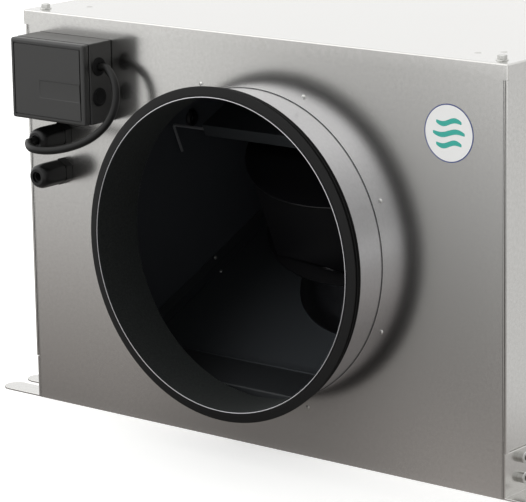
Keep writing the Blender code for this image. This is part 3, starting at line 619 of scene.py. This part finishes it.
def hexTrim(bm, apothem, near, far=math.inf, most=1.0):
    # draws the vertices between two radii to a hexagon round Z; most is the largest
    # share of its radius that a vertex may move to, so a nut's corners stay turned off
    for vert in bm.verts:
        radius = math.hypot(vert.co.x, vert.co.y)
        if near < radius < far:
            turn = (math.atan2(vert.co.y, vert.co.x) + math.pi / 6) % (math.pi / 3) - math.pi / 6
            share = min(apothem / math.cos(turn) / radius, most)
            vert.co.x *= share
            vert.co.y *= share


# cable glands: hexagon base, hexagon nut with a domed nose and a rubber insert
gland = {
    "steps": 60,
    "smooth": 25,  # degrees
    "baseFlats": 0.0240,
    "baseLength": 0.0090,
    "baseTop": 0.93,  # share of the corner's radius that the base keeps at its top
    "baseShoulder": 0.88,  # share of the base's length where it starts to slope
    "nutApothem": 0.0118,
    "nutRadius": 0.0130,
    "nutLength": 0.0320,
    "nutShoulder": 0.62,  # share of the nut's length where the dome starts
    "nutFoot": (0.0008, 0.0010),  # slope at the nut's foot, inwards and along
    "domeSteps": 6,
    "nose": 0.0093,
    "noseRing": 0.0010,
    "bore": 0.0058,
    "insertSteps": 36,
    "insertPlay": 0.0001,
    "insertBore": 0.0044,
    "insertBack": 0.0030,
    "gap": 0.0003,
}


def buildGland(which):
    low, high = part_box(which + "_gland_nut")
    centre = ((low[0] + high[0]) / 2, -casing["halfLength"], (low[2] + high[2]) / 2)
    place = facing(*centre, -1)
    base = bmesh.new()
    corner = gland["baseFlats"] / 2 / math.cos(math.pi / 6)
    length, bore = gland["baseLength"], gland["bore"]
    foot, top = gland["gap"], gland["gap"] + length
    profile = [
        (corner * gland["baseTop"], top), (corner, foot + length * gland["baseShoulder"]),
        (corner, foot), (bore, foot), (bore, top)]
    turnProfile(base, profile, gland["steps"], Matrix())
    hexTrim(base, gland["baseFlats"] / 2, gland["baseFlats"] / 2)
    bmesh.ops.transform(base, matrix=place, verts=base.verts)
    node = which + "_gland_base"
    finishPiece(
        base, which + "GlandBase", [glandNylon], "casing", [node], gland["smooth"])
    start = top + gland["gap"]
    end = start + gland["nutLength"]
    shoulder = start + gland["nutLength"] * gland["nutShoulder"]
    body, nose, ring = gland["nutRadius"], gland["nose"], gland["noseRing"]
    footIn, footUp = gland["nutFoot"]
    profile = [(nose - ring, end), (nose, end - ring / 2)]
    for turn in quarter(gland["domeSteps"])[1:]:
        profile.append((
            nose + (body - nose) * math.sin(turn),
            shoulder + (end - ring - shoulder) * math.cos(turn)))
    profile += [(body, start + footUp), (body - footIn, start), (bore, start), (bore, end)]
    nut = bmesh.new()
    turnProfile(nut, profile, gland["steps"], Matrix())
    hexTrim(nut, gland["nutApothem"], gland["nutApothem"])
    bmesh.ops.transform(nut, matrix=place, verts=nut.verts)
    node = which + "_gland_nut"
    finishPiece(
        nut, which + "GlandNut", [glandNylon], "casing", [node], gland["smooth"])
    insert = bmesh.new()
    inner, outer = gland["insertBore"], bore - gland["insertPlay"]
    back = end - gland["insertBack"]
    profile = [(outer, back), (outer, start), (inner, start), (inner, back)]
    turnProfile(insert, profile, gland["insertSteps"], place)
    finishPiece(insert, which + "GlandInsert", [grommetRubber], "casing")


buildGland("upper")
buildGland("lower")
print("terminal box, entries and glands built")


# control cable from the box's upper entry to the upper gland; the route's points are
# the solid cable's, and only the short stretch inside the gland is added
cable = {
    "radius": 0.0040,
    "roundSteps": 5,
    "step": 0.0035,
    "fineSteps": 24,  # of the smooth curve between two points
    "lead": 0.0050,
    "into": 0.0045,  # from the gland's mouth to inside its rubber insert
    "start": (-0.1817, -0.4200, 0.3700),
    "end": (-0.2525, -0.4419, 0.2895),
    "middle": (
        (-0.1590, -0.4235, 0.3590), (-0.1535, -0.4270, 0.3430),
        (-0.1555, -0.4310, 0.3260), (-0.1640, -0.4365, 0.3110),
        (-0.1790, -0.4430, 0.2985), (-0.1985, -0.4510, 0.2900),
        (-0.2190, -0.4590, 0.2860), (-0.2375, -0.4625, 0.2865)),
}


def smoothRoute(anchors, step):
    # a smooth curve through the anchors, as points a step apart, and its length
    ends = [anchors[0] * 2 - anchors[1], *anchors, anchors[-1] * 2 - anchors[-2]]
    fine = []
    for index in range(1, len(ends) - 2):
        before, start, stop, after = ends[index - 1:index + 3]
        for part in range(cable["fineSteps"]):
            t = part / cable["fineSteps"]
            fine.append(0.5 * (
                2 * start + (stop - before) * t
                + (2 * before - 5 * start + 4 * stop - after) * t ** 2
                + (3 * start - before - 3 * stop + after) * t ** 3))
    fine.append(anchors[-1])
    length = sum((b - a).length for a, b in zip(fine, fine[1:]))
    count = round(length / step)
    points = [fine[0]]
    walked = 0.0
    for a, b in zip(fine, fine[1:]):
        walked += (b - a).length
        if walked >= length / count * len(points) and len(points) < count:
            points.append(b)
    return points + [fine[-1]], length


def buildCable():
    start, end = Vector(cable["start"]), Vector(cable["end"])
    sideways = Vector((cable["lead"], 0, 0))
    outwards = Vector((0, -cable["lead"], 0))
    anchors = [start, start + sideways, start + 2 * sideways]
    anchors += [Vector(point) for point in cable["middle"]]
    anchors += [end + 2 * outwards, end + outwards, end, end + Vector((0, cable["into"], 0))]
    points, length = smoothRoute(anchors, cable["step"])
    curve = bpy.data.curves.new("controlCable", "CURVE")
    curve.dimensions = "3D"
    spline = curve.splines.new("POLY")
    spline.points.add(len(points) - 1)
    for target, point in zip(spline.points, points):
        target.co = (*point, 1.0)
    spline.use_smooth = True
    curve.bevel_depth = cable["radius"]
    curve.bevel_resolution = cable["roundSteps"]
    curve.use_fill_caps = True
    curve.materials.append(cableJacket)
    piece = bpy.data.objects.new("controlCable", curve)
    scene.collection.objects.link(piece)
    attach(piece, "casing")
    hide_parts("control_cable")
    print("cable length", round(length, 4), "m in", len(points), "points")


buildCable()


def domeMesh(radius, rise, place, steps=20, rows=4):
    bm = bmesh.new()
    profile = [(radius * math.sin(turn), rise * math.cos(turn)) for turn in quarter(rows)]
    turnProfile(bm, profile + [(0.0, 0.0)], steps, place, closed=False)
    return bm


# rivets in a ring round each spigot
rivet = {
    "radius": 0.0024,
    "rise": 0.0011,
    "circle": 0.168,  # radius of the ring
    "count": 8,
    "firstTurn": 22.5,  # degrees
}


def buildRivets():
    for name, outward in (("front", -1), ("rear", 1)):
        rivets = bmesh.new()
        for index in range(rivet["count"]):
            turn = math.radians(rivet["firstTurn"]) + 2 * math.pi * index / rivet["count"]
            x = rivet["circle"] * math.cos(turn)
            z = casing["ductHeight"] + rivet["circle"] * math.sin(turn)
            place = facing(x, outward * casing["halfLength"], z, outward)
            addPart(rivets, domeMesh(rivet["radius"], rivet["rise"], place))
        finishPiece(rivets, name + "Rivets", [platedSteel], "casing")


buildRivets()


# small rivets in the bulkhead's edge strips
bulkheadRivet = {
    "radius": 0.0022,
    "rise": 0.0013,
    "steps": 12,
    # across, along and up from the bulkhead, and the degrees that it is tipped inwards
    "places": ((0.2452, -0.060, 0.0108, 90.0), (0.2335, -0.070, 0.0015, 0.0)),
}


def buildBulkheadRivets():
    rivets = bmesh.new()
    for side in (-1, 1):
        for across, along, up, tip in bulkheadRivet["places"]:
            place = fanPlace @ Matrix.Translation((side * across, along, up))
            place = place @ Matrix.Rotation(-side * math.radians(tip), 4, "Y")
            addPart(rivets, domeMesh(
                bulkheadRivet["radius"], bulkheadRivet["rise"], place, bulkheadRivet["steps"]))
    finishPiece(rivets, "bulkheadRivets", [platedSteel], "casing")


buildBulkheadRivets()


# small round dimples pressed up in the lid near its front edge
lidDimple = {
    "radius": 0.0035,
    "rise": 0.0007,
    "places": ((-0.2557, -0.3501), (0.2422, -0.3634), (0.2598, -0.3465)),
}


def buildLidDimples():
    dimples = bmesh.new()
    for x, y in lidDimple["places"]:
        place = Matrix.Translation((x, y, casing["top"]))
        addPart(dimples, domeMesh(lidDimple["radius"], lidDimple["rise"], place))
    finishPiece(dimples, "lidDimples", [galvanisedSheet], "casing")


buildLidDimples()


# bolts that hold each foot: a round head with a hexagon socket
footBolt = {
    "steps": 36,
    "radius": 0.0055,
    "rise": 0.0065,
    "fromEnd": 0.0255,
    "heights": (0.037, 0.017),
    "footSheet": 0.0020,
    "soft": 0.12,  # this and the socket are shares of the radius
    "socket": 0.5,
    "socketFlats": 0.9,  # share of the socket's radius
    "socketFloor": 0.45,  # share of the rise
    "smooth": 30,  # degrees
}


def boltMesh(place):
    bm = bmesh.new()
    radius, rise = footBolt["radius"], footBolt["rise"]
    soft = radius * footBolt["soft"]
    socket = radius * footBolt["socket"]
    floor = rise * footBolt["socketFloor"]
    profile = [
        (0.0, floor), (socket, floor), (socket, rise), (radius - soft, rise),
        (radius, rise - soft), (radius, 0.0), (0.0, 0.0)]
    turnProfile(bm, profile, footBolt["steps"], Matrix(), closed=False)
    near, far = socket * (1 - ringMargin), socket * (1 + ringMargin)
    hexTrim(bm, socket * footBolt["socketFlats"], near, far, math.inf)
    bmesh.ops.transform(bm, matrix=place, verts=bm.verts)
    return bm


def buildFootBolts():
    bolts = bmesh.new()
    for outward in (-1, 1):
        for side in (-1, 1):
            x = side * (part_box("front_right_bracket")[0][0] + footBolt["footSheet"])
            y = outward * (casing["halfLength"] - footBolt["fromEnd"])
            sideways = Matrix.Rotation(side * math.pi / 2, 4, "Y")
            for z in footBolt["heights"]:
                addPart(bolts, boltMesh(Matrix.Translation((x, y, z)) @ sideways))
    finishPiece(
        bolts, "bracketBolts", [platedSteel], "casing", (),
        footBolt["smooth"])


buildFootBolts()


# hexagon screws with washers in the lid's corners
lidScrew = {
    "steps": 36,
    "flats": 0.0080,
    "rise": 0.0042,
    "topShare": 0.86,  # of the corner's radius
    "chamfer": 0.0006,
    "washerRadius": 0.0060,
    "washerRise": 0.0010,
    "washerEdge": (0.0003, 0.0004),  # inwards and down
    "fromEnd": 0.0145,
    "fromSide": 0.0125,
    "smooth": 30,  # degrees
}


def screwMesh(place):
    bm = bmesh.new()
    low = lidScrew["washerRise"]
    top = low + lidScrew["rise"]
    flats = lidScrew["flats"] / 2
    corner = flats / math.cos(math.pi / 6)
    washer = lidScrew["washerRadius"]
    edgeIn, edgeDown = lidScrew["washerEdge"]
    share = lidScrew["topShare"]
    profile = [
        (0.0, top), (corner * share, top), (corner, top - lidScrew["chamfer"]), (corner, low),
        (washer - edgeIn, low), (washer, low - edgeDown), (washer, 0.0), (0.0, 0.0)]
    turnProfile(bm, profile, lidScrew["steps"], Matrix(), closed=False)
    for size in (share, 1.0):  # the smaller ring first, so that no vertex is drawn in twice
        ring = corner * size
        hexTrim(bm, flats * size, ring * (1 - ringMargin), ring * (1 + ringMargin))
    bmesh.ops.transform(bm, matrix=place, verts=bm.verts)
    return bm


def buildLidScrews():
    screws = bmesh.new()
    for outward in (-1, 1):
        for side in (-1, 1):
            x = side * (casing["halfWidth"] - lidScrew["fromSide"])
            y = outward * (casing["halfLength"] - lidScrew["fromEnd"])
            addPart(screws, screwMesh(Matrix.Translation((x, y, casing["top"]))))
    finishPiece(
        screws, "lidScrews", [platedSteel], "casing", (), lidScrew["smooth"])


buildLidScrews()
print("fasteners built")


# round label with three plain air-flow bands
label = {
    "steps": 96,
    "centre": (0.235, 0.3447),
    "radius": 0.0278,
    "rim": 0.0011,
    "film": 0.0002,
    "bandSteps": 40,
    "bandLength": 0.036,
    "outerBands": 0.8,  # share of that length
    "bandWidth": 0.0052,
    "bandEnds": 0.4,  # share of that width
    "bandPitch": 0.0105,
    "wave": 0.0020,
}


def buildLabel():
    x, z = label["centre"]
    place = facing(x, -casing["halfLength"], z, -1)
    bm = bmesh.new()
    film, radius, blunt = label["film"], label["radius"], label["bandEnds"]
    rim = radius - label["rim"]
    profile = [(0.0, film), (rim, film), (radius, film), (radius, 0.0), (0.0, 0.0)]
    turnProfile(bm, profile, label["steps"], Matrix(), closed=False)
    for item in bm.faces:
        middle = item.calc_center_median()
        if math.hypot(middle.x, middle.y) > rim:
            item.material_index = 1
    for row in (-1, 0, 1):
        band = bmesh.new()
        bmesh.ops.create_grid(band, x_segments=label["bandSteps"], y_segments=1, size=0.5)
        length = label["bandLength"] * (label["outerBands"] if row else 1.0)
        for vert in band.verts:
            along = vert.co.x
            taper = math.sqrt(max(0.0, 1 - (2 * along) ** 2)) * (1 - blunt) + blunt
            rise = label["wave"] * math.sin(2 * math.pi * along)
            vert.co = (
                along * length,
                vert.co.y * label["bandWidth"] * taper + rise + row * label["bandPitch"], film)
        top = bmesh.ops.extrude_face_region(band, geom=band.faces[:])["geom"]
        moved = [item for item in top if isinstance(item, bmesh.types.BMVert)]
        bmesh.ops.translate(band, vec=(0, 0, film / 2), verts=moved)
        bmesh.ops.recalc_face_normals(band, faces=band.faces)
        for item in band.faces:
            item.material_index = 2
        addPart(bm, band)
    bmesh.ops.transform(bm, matrix=place, verts=bm.verts)
    finishPiece(
        bm, "roundLabel", [labelFilm, labelNavy, labelTeal], "casing")


buildLabel()
print("label built")

# nodes whose own shape is right only take a finish
for node, material in (("cable_hook", hookGreyWire), ("wall_grommet", grommetRubber)):
    for row in frame["nodes"][node].material_slots:
        row.link = "OBJECT"
        row.material = material


# studio floor: plain and pale to the camera. In the metal's reflections it has tones of
# its own by place, matched to how the sheet shades in the photo from its one viewpoint
floorPaper = {
    "half": 12.0,
    "colour": "#e4e4e2",
    "glow": 0.52,
    "rampReach": 4.0,  # metres from the foot of the outlet end; stops are (reach, tone)
    "leftTones": (
        (0.0, 0.28), (0.13, 0.34), (0.26, 0.40), (0.45, 0.52),
        (0.67, 0.70), (1.1, 0.86), (1.6, 1.20), (4.0, 1.25)),
    "rightTones": (
        (0.0, 0.43), (0.13, 0.37), (0.30, 0.315), (0.50, 0.305),
        (0.80, 0.33), (1.1, 0.365), (2.0, 0.50), (4.0, 0.80)),
    "footTint": (1.055, 0.99, 0.96),  # the floor mirrors a little warmer near the foot
    "tintFade": {"From Min": 0.10, "From Max": 0.90},
    "lean": 0.81,  # how far a mirrored ray runs to the left for each metre outwards
    "leftToRight": {"From Min": -0.14, "From Max": 0.12},
    "rightRise": {"From Min": 0.32, "From Max": 0.75, "To Min": 1.0, "To Max": 2.3},
    "dipMiddle": 0.04,  # of a darker patch, for the shade on the face under the tube
    "dip": {"From Min": 0.02, "From Max": 0.24, "To Min": 0.55, "To Max": 1.0},
    "dipFade": {"From Min": 0.30, "From Max": 1.10},
    "behindFade": {"From Min": -0.42, "From Max": -0.10},
    "behindTone": (0.9, 0.9, 0.9, 1.0),
}


def buildFloor():
    bm = bmesh.new()
    bmesh.ops.create_grid(bm, x_segments=1, y_segments=1, size=floorPaper["half"])
    mesh = bpy.data.meshes.new("studioFloor")
    bm.to_mesh(mesh)
    bm.free()
    floor = bpy.data.objects.new("studioFloor", mesh)
    scene.collection.objects.link(floor)
    material = bpy.data.materials.new("studioPaper")
    material.use_nodes = True
    tree = material.node_tree
    tree.nodes.clear()
    path = addNode(tree, "ShaderNodeLightPath")
    paper = addNode(tree, "ShaderNodeBsdfDiffuse", None, {"Color": linear(floorPaper["colour"])})
    glow = addNode(tree, "ShaderNodeEmission", None, {"Strength": floorPaper["glow"]})
    bright = addNode(tree, "ShaderNodeAddShader", None, {
        0: paper.outputs[0], 1: glow.outputs[0]})
    # in reflections the paper has one row of tones for the left and one for the right,
    # each by the distance from the foot of the outlet end
    place = addNode(tree, "ShaderNodeTexCoord")
    spot = addNode(tree, "ShaderNodeSeparateXYZ", None, {"Vector": place.outputs["Object"]})
    outwards = addNode(tree, "ShaderNodeMath", {"operation": "SUBTRACT"}, {
        0: -casing["halfLength"], 1: spot.outputs["Y"]})
    along = addNode(tree, "ShaderNodeMapRange", None, {
        "Value": outwards.outputs[0], "From Max": floorPaper["rampReach"]})
    ramps = []
    for stops in (floorPaper["leftTones"], floorPaper["rightTones"]):
        ramp = addNode(tree, "ShaderNodeValToRGB", None, {"Fac": along.outputs["Result"]})
        while len(ramp.color_ramp.elements) < len(stops):
            ramp.color_ramp.elements.new(0.5)
        for element, (reach, tone) in zip(ramp.color_ramp.elements, stops):
            element.position = reach / floorPaper["rampReach"]
            element.color = (tone, tone, tone, 1.0)
        ramps.append(ramp)
    across = addNode(tree, "ShaderNodeMath", {"operation": "MULTIPLY_ADD"}, {
        0: outwards.outputs[0], 1: floorPaper["lean"], 2: spot.outputs["X"]})
    rightShare = addNode(tree, "ShaderNodeMapRange", {"interpolation_type": "SMOOTHSTEP"}, {
        "Value": across.outputs[0], **floorPaper["leftToRight"]})
    sides = addNode(tree, "ShaderNodeMix", {"data_type": "RGBA"}, {
        0: rightShare.outputs["Result"],
        6: ramps[0].outputs["Color"],
        7: ramps[1].outputs["Color"]})
    rise = addNode(tree, "ShaderNodeMapRange", None, {
        "Value": across.outputs[0], **floorPaper["rightRise"]})
    offMiddle = addNode(tree, "ShaderNodeMath", {"operation": "SUBTRACT"}, {
        0: across.outputs[0], 1: floorPaper["dipMiddle"]})
    fromMiddle = addNode(tree, "ShaderNodeMath", {"operation": "ABSOLUTE"}, {
        0: offMiddle.outputs[0]})
    dip = addNode(tree, "ShaderNodeMapRange", {"interpolation_type": "SMOOTHSTEP"}, {
        "Value": fromMiddle.outputs[0], **floorPaper["dip"]})
    dipFade = addNode(tree, "ShaderNodeMapRange", None, {
        "Value": outwards.outputs[0], **floorPaper["dipFade"]})
    dipped = addNode(tree, "ShaderNodeMix", {"data_type": "FLOAT"}, {
        0: dipFade.outputs["Result"], 2: dip.outputs["Result"], 3: 1.0})
    gain = addNode(tree, "ShaderNodeMath", {"operation": "MULTIPLY"}, {
        0: rise.outputs["Result"], 1: dipped.outputs[0]})
    front = addNode(tree, "ShaderNodeVectorMath", {"operation": "SCALE"}, {
        0: sides.outputs[2], "Scale": gain.outputs[0]})
    tintFade = addNode(tree, "ShaderNodeMapRange", None, {
        "Value": outwards.outputs[0], **floorPaper["tintFade"]})
    tint = addNode(tree, "ShaderNodeMix", {"data_type": "VECTOR"}, {
        0: tintFade.outputs["Result"], 4: floorPaper["footTint"], 5: (1.0, 1.0, 1.0)})
    tinted = addNode(tree, "ShaderNodeVectorMath", {"operation": "MULTIPLY"}, {
        0: front.outputs["Vector"], 1: tint.outputs[1]})
    behind = addNode(tree, "ShaderNodeMapRange", None, {
        "Value": spot.outputs["Y"], **floorPaper["behindFade"]})
    tone = addNode(tree, "ShaderNodeMix", {"data_type": "RGBA"}, {
        0: behind.outputs["Result"], 6: tinted.outputs["Vector"], 7: floorPaper["behindTone"]})
    # painted reflection: this glow is all that mirrored rays see of the floor, so its tones paint
    # light and shade on the metal
    mirrored = addNode(tree, "ShaderNodeEmission", None, {"Color": tone.outputs[2]})
    reflection = addNode(tree, "ShaderNodeMath", {"operation": "MAXIMUM"}, {
        0: path.outputs["Is Glossy Ray"], 1: path.outputs["Is Transmission Ray"]})
    plainOrMirrored = addNode(tree, "ShaderNodeMixShader", None, {
        0: reflection.outputs[0], 1: paper.outputs[0], 2: mirrored.outputs[0]})
    result = addNode(tree, "ShaderNodeMixShader", None, {
        0: path.outputs["Is Camera Ray"], 1: plainOrMirrored.outputs[0], 2: bright.outputs[0]})
    addNode(tree, "ShaderNodeOutputMaterial", None, {"Surface": result.outputs[0]})
    mesh.materials.append(material)


# air round the studio: white to the camera. In reflections it is brighter behind the
# object, at its front left and higher up, by the direction of the mirrored ray
air = {
    "fill": 0.45,
    "leftward": {"From Min": -0.72, "From Max": -0.55, "To Min": 1.30, "To Max": 0.70},
    "upward": {"From Min": 0.02, "From Max": 0.22, "To Min": 0.0, "To Max": 1.05},
    "upwardFade": {"From Min": 0.20, "From Max": 0.60, "To Min": 1.0, "To Max": 0.05},
    "backFade": {"From Min": -0.3, "From Max": 0.3},
    "backTone": 1.25,
}


def buildWorld():
    world = bpy.data.worlds.new("studioAir")
    world.use_nodes = True
    scene.world = world
    tree = world.node_tree
    tree.nodes.clear()
    white = (1.0, 1.0, 1.0, 1.0)
    path = addNode(tree, "ShaderNodeLightPath")
    reflection = addNode(tree, "ShaderNodeMath", {"operation": "MAXIMUM"}, {
        0: path.outputs["Is Glossy Ray"], 1: path.outputs["Is Transmission Ray"]})
    shown = addNode(tree, "ShaderNodeMath", {"operation": "MAXIMUM"}, {
        0: path.outputs["Is Camera Ray"], 1: reflection.outputs[0]})
    fill = addNode(tree, "ShaderNodeBackground", None, {"Color": white, "Strength": air["fill"]})
    place = addNode(tree, "ShaderNodeTexCoord")
    heading = addNode(tree, "ShaderNodeSeparateXYZ", None, {"Vector": place.outputs["Generated"]})
    leftward = addNode(tree, "ShaderNodeMapRange", None, {
        "Value": heading.outputs["X"], **air["leftward"]})
    behind = addNode(tree, "ShaderNodeMapRange", None, {
        "Value": heading.outputs["Y"], **air["backFade"]})
    upward = addNode(tree, "ShaderNodeMapRange", None, {
        "Value": heading.outputs["Z"], **air["upward"]})
    fade = addNode(tree, "ShaderNodeMapRange", None, {
        "Value": heading.outputs["X"], **air["upwardFade"]})
    ahead = addNode(tree, "ShaderNodeMath", {"operation": "MULTIPLY_ADD"}, {
        0: upward.outputs["Result"], 1: fade.outputs["Result"], 2: leftward.outputs["Result"]})
    # painted reflections: these tones are seen only in mirrored rays, while diffuse rays get the
    # plain fill
    tone = addNode(tree, "ShaderNodeMix", {"data_type": "FLOAT"}, {
        0: behind.outputs["Result"], 2: ahead.outputs[0], 3: air["backTone"]})
    seen = addNode(tree, "ShaderNodeMix", {"data_type": "FLOAT"}, {
        0: path.outputs["Is Camera Ray"], 2: tone.outputs[0], 3: 1.0})
    around = addNode(tree, "ShaderNodeBackground", None, {
        "Color": white, "Strength": seen.outputs[0]})
    mixed = addNode(tree, "ShaderNodeMixShader", None, {
        0: shown.outputs[0], 1: fill.outputs[0], 2: around.outputs[0]})
    addNode(tree, "ShaderNodeOutputWorld", None, {"Surface": mixed.outputs[0]})


# two soft lamps, which the metal doesn't mirror
softboxes = {
    "keySoftbox": {"place": (-1.5, 0.6, 2.6), "size": 2.4, "power": 60.0},
    "fillSoftbox": {"place": (-0.6, -3.0, 1.6), "size": 2.0, "power": 34.0},
}
lampAim = Vector((0, 0, 0.2))


def buildLamp(name, place, size, power):
    lamp = bpy.data.lights.new(name, "AREA")
    lamp.size = size
    lamp.energy = power
    holder = bpy.data.objects.new(name, lamp)
    holder.visible_glossy = False
    scene.collection.objects.link(holder)
    turn = (lampAim - Vector(place)).to_track_quat("-Z", "Y").to_matrix().to_4x4()
    holder.matrix_world = Matrix.Translation(place) @ turn


buildFloor()
buildWorld()
for name, settings in softboxes.items():
    buildLamp(name, **settings)
scene.view_settings.view_transform = "Standard"
print("studio lit")
